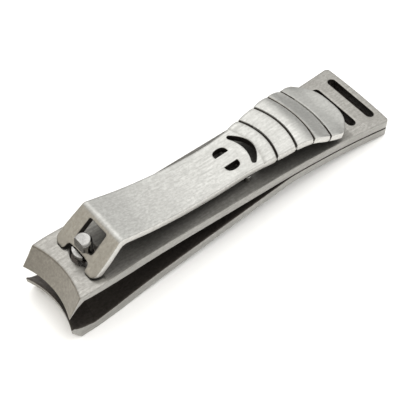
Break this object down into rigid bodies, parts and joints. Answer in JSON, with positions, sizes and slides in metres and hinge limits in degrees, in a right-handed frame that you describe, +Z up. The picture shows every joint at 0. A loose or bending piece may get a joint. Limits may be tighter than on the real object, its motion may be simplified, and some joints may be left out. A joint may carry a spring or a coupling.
{
  "type": "nail clipper",
  "caption": "Folded lever-type nail clipper: two sprung steel arms with hollow-ground jaws, a notched pivot pin and a ribbed thumb lever.",
  "frame": {"origin": "centre of the clipper's box, on the surface that it lies on", "axes": "+X from the jaws to the tail, +Y to the left when looking from the jaws towards the tail, +Z up"},
  "size_m": [0.08, 0.0186, 0.0184],
  "materials": {
    "arm_steel": "satin, brushed along the length",
    "lever_steel": "satin, brushed along the length",
    "post_steel": "bright turned steel"
  },
  "bodies": {
    "base": {"lower_arm": "arm_steel", "upper_arm_tail": "arm_steel", "front_rivet": "post_steel", "rear_rivet": "post_steel"},
    "upper_jaw": {"upper_arm": "arm_steel", "left_stop": "post_steel", "right_stop": "post_steel"},
    "pivot": {"post": "post_steel"},
    "handle": {"lever": "lever_steel"}
  },
  "joints": [
    {"name": "jaw_flex", "type": "hinge", "parent": "base", "child": "upper_jaw", "pos_m": [0.014, 0, 0.00709], "axis": [0, -1, 0], "range_deg": [0, 2.6], "stiffness_Nm_per_rad": 8},
    {"name": "post_swivel", "type": "hinge", "parent": "base", "child": "pivot", "pos_m": [-0.0307, 0, 0], "axis": [0, 0, 1], "continuous": true},
    {"name": "lever_tilt", "type": "hinge", "parent": "pivot", "child": "handle", "pos_m": [-0.03097, 0, 0.01371], "axis": [0, -1, 0], "range_deg": [0, 70]}
  ],
  "couplings": [
    {"joint": "jaw_flex", "follows": "lever_tilt", "ratio": 0.0367}
  ]
}
